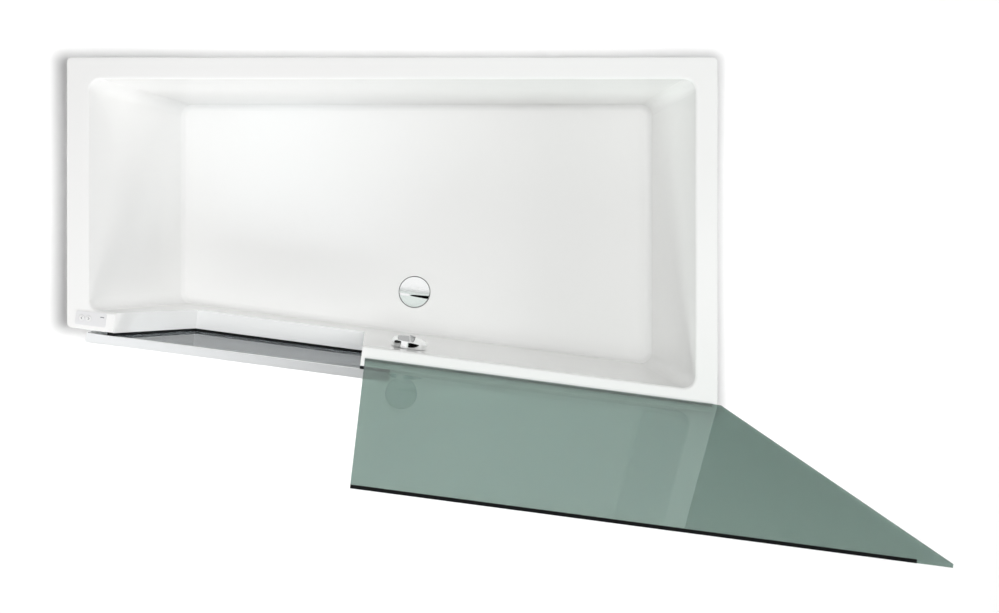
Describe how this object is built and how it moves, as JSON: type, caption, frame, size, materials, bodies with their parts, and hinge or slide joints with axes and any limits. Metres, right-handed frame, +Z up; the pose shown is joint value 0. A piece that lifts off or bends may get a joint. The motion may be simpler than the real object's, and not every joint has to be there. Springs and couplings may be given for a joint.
{
  "type": "bathtub with door and glass screen",
  "caption": "Space-saving bathtub, straight back and slanted front, with a hinged door in the front wall, a glass screen, pop-up waste and rotary overflow handle.",
  "frame": {"origin": "centre of the bounding box on the floor, under the levelling feet", "axes": "+Z up, +X along the tub from the sloping narrow end to the wide end, +Y towards the straight back side; the slanted front with the door faces -Y"},
  "size_m": [1.708, 0.9284, 2],
  "materials": {
    "acrylic": "glossy white sanitary acrylic",
    "laminate_board": "raw particle board, resin sealed",
    "galvanised": "galvanised square tube",
    "foot_plastic": "black moulded plastic",
    "door_seal_rubber": "matt black rubber",
    "door_glass": "grey tinted toughened glass",
    "satin_aluminium": "satin anodised",
    "stainless": "brushed stainless",
    "dark_plastic": "black moulded plastic",
    "pad_plastic": "white satin plastic",
    "lamp": "translucent lens",
    "circuit_board": "green lacquered board",
    "lead_sheath": "grey sheath",
    "screen_glass": "green tinted toughened glass",
    "trim_black": "black strip",
    "chrome": "polished chrome",
    "gasket_rubber": "black rubber",
    "waste_plastic": "white waste fitting plastic",
    "cable_sheath": "black sheath"
  },
  "bodies": {
    "tub": {"tub_shell": "acrylic", "front_apron": "acrylic", "sill_apron": "acrylic", "left_apron": "acrylic", "base_board": "laminate_board", "back_rail": "galvanised", "front_rail": "galvanised", "cross_rail_left": "galvanised", "cross_rail_doorway": "galvanised", "cross_rail_middle": "galvanised", "cross_rail_right": "galvanised", "post_back_left": "galvanised", "post_back_right": "galvanised", "post_front_left": "galvanised", "post_hinge": "galvanised", "post_front_right": "galvanised", "top_rail_back": "galvanised", "top_rail_front": "galvanised", "apron_clips": "galvanised", "foot_studs": "galvanised", "foot_nuts": "galvanised", "foot_pads": "foot_plastic", "door_seal": "door_seal_rubber", "screen_channel": "satin_aluminium", "hinge_frame_leaves": "stainless", "hinge_pins": "stainless", "hinge_frame_screws": "stainless", "waste_flange": "stainless", "lock_case": "dark_plastic", "control_pad": "pad_plastic", "indicator_lamp": "lamp", "keypad_board": "circuit_board", "pad_lead": "lead_sheath", "screen_glass": "screen_glass", "screen_edge_trim": "trim_black", "screen_gasket": "trim_black", "overflow_ring": "chrome", "waste_gasket": "gasket_rubber", "overflow_seal": "gasket_rubber", "waste_body": "waste_plastic", "outlet_pipe": "waste_plastic", "overflow_housing": "waste_plastic", "overflow_pipe": "waste_plastic", "pull_cable": "cable_sheath"},
    "door": {"door_outer_glass": "door_glass", "door_inner_glass": "door_glass", "door_top_rail": "satin_aluminium", "door_bottom_rail": "satin_aluminium", "door_lock_stile": "satin_aluminium", "door_hinge_stile": "satin_aluminium", "hinge_door_leaves": "stainless", "hinge_door_screws": "stainless", "door_striker": "stainless"},
    "lock_bolt": {"lock_bolt": "stainless"},
    "overflow_handle": {"overflow_knob": "chrome"},
    "waste_plug": {"waste_cover": "chrome", "plug_stem": "stainless", "plug_seal": "gasket_rubber"},
    "left_button": {"button_left": "pad_plastic"},
    "right_button": {"button_right": "pad_plastic"}
  },
  "joints": [
    {"name": "door_hinge", "type": "hinge", "parent": "tub", "child": "door", "pos_m": [0.00089, -0.37427, 0.3175], "axis": [0, 0, 1], "range_deg": [0, 110]},
    {"name": "lock_slide", "type": "slide", "parent": "tub", "child": "lock_bolt", "axis": [0, 0, 1], "range_m": [0, 0.014]},
    {"name": "overflow_turn", "type": "hinge", "parent": "tub", "child": "overflow_handle", "pos_m": [0.04091, -0.30583, 0.474], "axis": [0.1312, 0.9914, 0], "range_deg": [0, 90]},
    {"name": "plug_lift", "type": "slide", "parent": "tub", "child": "waste_plug", "axis": [0, 0, 1], "range_m": [0, 0.009]},
    {"name": "left_button_press", "type": "slide", "parent": "tub", "child": "left_button", "axis": [0, 0, -1], "range_m": [0, 0.0008], "stiffness_N_per_m": 300, "springref_m": -0.0008},
    {"name": "right_button_press", "type": "slide", "parent": "tub", "child": "right_button", "axis": [0, 0, -1], "range_m": [0, 0.0008], "stiffness_N_per_m": 300, "springref_m": -0.0008}
  ],
  "couplings": [
    {"joint": "plug_lift", "follows": "overflow_turn", "m_per_rad": 0.005729}
  ]
}
